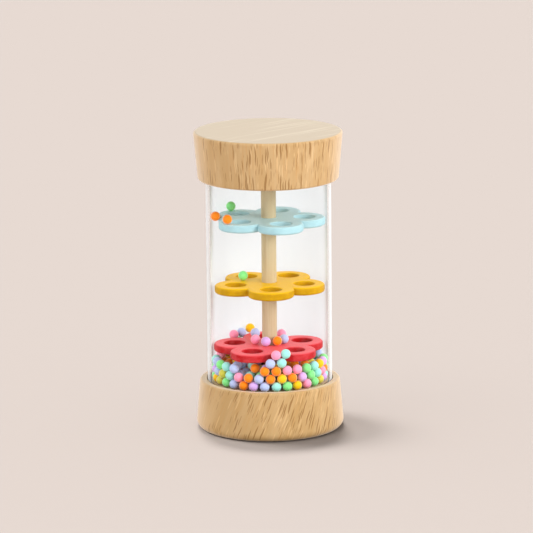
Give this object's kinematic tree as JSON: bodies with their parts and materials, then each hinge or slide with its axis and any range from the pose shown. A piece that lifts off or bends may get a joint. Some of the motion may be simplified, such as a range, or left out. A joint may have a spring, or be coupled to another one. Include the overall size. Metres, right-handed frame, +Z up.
{
  "type": "rainstick",
  "caption": "Small rainstick: clear tube between turned wooden caps, with flower-shaped discs on a centre dowel and loose coloured beads that fall through the holes in the discs.",
  "frame": {"origin": "middle of the underside of the base cap", "axes": "+Z up along the tube from the base cap to the top cap; -Y is the front, with +X to its right"},
  "size_m": [0.0754, 0.0754, 0.153],
  "materials": {
    "turned_wood": "turned light hardwood, clear satin oil, short open pores",
    "dowel_wood": "sanded pale dowel, unfinished",
    "clear_acrylic": "clear polished acrylic tube",
    "red_paint": "satin water-based paint over wood",
    "yellow_paint": "satin water-based paint over wood",
    "blue_paint": "satin water-based paint over wood",
    "bead_orange": "moulded matte plastic bead",
    "bead_yellow": "moulded matte plastic bead",
    "bead_olive": "moulded matte plastic bead",
    "bead_green": "moulded matte plastic bead",
    "bead_mint": "moulded matte plastic bead",
    "bead_blue": "moulded matte plastic bead",
    "bead_lilac": "moulded matte plastic bead",
    "bead_pink": "moulded matte plastic bead"
  },
  "bodies": {
    "housing": {"base_cap": "turned_wood", "top_cap": "turned_wood", "tube": "clear_acrylic", "dowel": "dowel_wood", "disc_red": "red_paint", "disc_yellow": "yellow_paint", "disc_blue": "blue_paint"},
    "bead_heap": {"heap_orange": "bead_orange", "heap_yellow": "bead_yellow", "heap_olive": "bead_olive", "heap_green": "bead_green", "heap_mint": "bead_mint", "heap_blue": "bead_blue", "heap_lilac": "bead_lilac", "heap_pink": "bead_pink"},
    "blue_disc_bead_green": {"blue_disc_bead_green": "bead_green"},
    "blue_disc_bead_orange": {"blue_disc_bead_orange": "bead_orange"},
    "blue_disc_bead_at_wall": {"blue_disc_bead_at_wall": "bead_orange"},
    "yellow_disc_bead_green": {"yellow_disc_bead_green": "bead_green"},
    "red_disc_bead_at_wall": {"red_disc_bead_at_wall": "bead_yellow"},
    "red_disc_bead_lavender": {"red_disc_bead_lavender": "bead_blue"},
    "red_disc_bead_rose": {"red_disc_bead_rose": "bead_pink"},
    "dowel_bead_pink": {"dowel_bead_pink": "bead_pink"},
    "dowel_bead_lilac": {"dowel_bead_lilac": "bead_lilac"},
    "dowel_bead_orange": {"dowel_bead_orange": "bead_orange"},
    "dowel_bead_blue": {"dowel_bead_blue": "bead_blue"},
    "front_notch_bead_pink": {"front_notch_bead_pink": "bead_pink"},
    "front_notch_bead_mint": {"front_notch_bead_mint": "bead_mint"},
    "back_notch_bead_pink": {"back_notch_bead_pink": "bead_pink"},
    "back_notch_bead_blue": {"back_notch_bead_blue": "bead_blue"},
    "hole_bead_orange": {"hole_bead_orange": "bead_orange"},
    "hole_bead_green": {"hole_bead_green": "bead_green"},
    "hole_bead_pink": {"hole_bead_pink": "bead_pink"},
    "hole_bead_yellow": {"hole_bead_yellow": "bead_yellow"},
    "hole_bead_mint": {"hole_bead_mint": "bead_mint"}
  },
  "joints": [
    {"name": "bead_heap_rise", "type": "slide", "parent": "housing", "child": "bead_heap", "axis": [0, 0, 1], "range_m": [0, 0.0011]},
    {"name": "blue_disc_bead_green_rise", "type": "slide", "parent": "housing", "child": "blue_disc_bead_green", "axis": [0, 0, 1], "range_m": [0, 0.015]},
    {"name": "blue_disc_bead_orange_rise", "type": "slide", "parent": "housing", "child": "blue_disc_bead_orange", "axis": [0, 0, 1], "range_m": [0, 0.015]},
    {"name": "blue_disc_bead_at_wall_rise", "type": "slide", "parent": "housing", "child": "blue_disc_bead_at_wall", "axis": [0, 0, 1], "range_m": [0, 0.0176]},
    {"name": "yellow_disc_bead_green_rise", "type": "slide", "parent": "housing", "child": "yellow_disc_bead_green", "axis": [0, 0, 1], "range_m": [0, 0.0243]},
    {"name": "red_disc_bead_at_wall_rise", "type": "slide", "parent": "housing", "child": "red_disc_bead_at_wall", "axis": [0, 0, 1], "range_m": [0, 0.0233]},
    {"name": "red_disc_bead_lavender_rise", "type": "slide", "parent": "housing", "child": "red_disc_bead_lavender", "axis": [0, 0, 1], "range_m": [0, 0.0231]},
    {"name": "red_disc_bead_rose_rise", "type": "slide", "parent": "housing", "child": "red_disc_bead_rose", "axis": [0, 0, 1], "range_m": [0, 0.0231]},
    {"name": "dowel_bead_pink_rise", "type": "slide", "parent": "housing", "child": "dowel_bead_pink", "axis": [0, 0, 1], "range_m": [0, 0.0231]},
    {"name": "dowel_bead_lilac_rise", "type": "slide", "parent": "housing", "child": "dowel_bead_lilac", "axis": [0, 0, 1], "range_m": [0, 0.0231]},
    {"name": "dowel_bead_orange_rise", "type": "slide", "parent": "housing", "child": "dowel_bead_orange", "axis": [0, 0, 1], "range_m": [0, 0.0231]},
    {"name": "dowel_bead_blue_rise", "type": "slide", "parent": "housing", "child": "dowel_bead_blue", "axis": [0, 0, 1], "range_m": [0, 0.0231]},
    {"name": "front_notch_bead_pink_rise", "type": "slide", "parent": "bead_heap", "child": "front_notch_bead_pink", "axis": [0, 0, 1], "range_m": [0, 0.0243]},
    {"name": "front_notch_bead_mint_rise", "type": "slide", "parent": "bead_heap", "child": "front_notch_bead_mint", "axis": [0, 0, 1], "range_m": [0, 0.0239]},
    {"name": "back_notch_bead_pink_rise", "type": "slide", "parent": "bead_heap", "child": "back_notch_bead_pink", "axis": [0, 0, 1], "range_m": [0, 0.0243]},
    {"name": "back_notch_bead_blue_rise", "type": "slide", "parent": "bead_heap", "child": "back_notch_bead_blue", "axis": [0, 0, 1], "range_m": [0, 0.0239]},
    {"name": "hole_bead_orange_rise", "type": "slide", "parent": "bead_heap", "child": "hole_bead_orange", "axis": [0, 0, 1], "range_m": [0, 0.0323]},
    {"name": "hole_bead_green_rise", "type": "slide", "parent": "bead_heap", "child": "hole_bead_green", "axis": [0, 0, 1], "range_m": [0, 0.0324]},
    {"name": "hole_bead_pink_rise", "type": "slide", "parent": "bead_heap", "child": "hole_bead_pink", "axis": [0, 0, 1], "range_m": [0, 0.0319]},
    {"name": "hole_bead_yellow_rise", "type": "slide", "parent": "bead_heap", "child": "hole_bead_yellow", "axis": [0, 0, 1], "range_m": [0, 0.0317]},
    {"name": "hole_bead_mint_rise", "type": "slide", "parent": "bead_heap", "child": "hole_bead_mint", "axis": [0, 0, 1], "range_m": [0, 0.0318]}
  ]
}
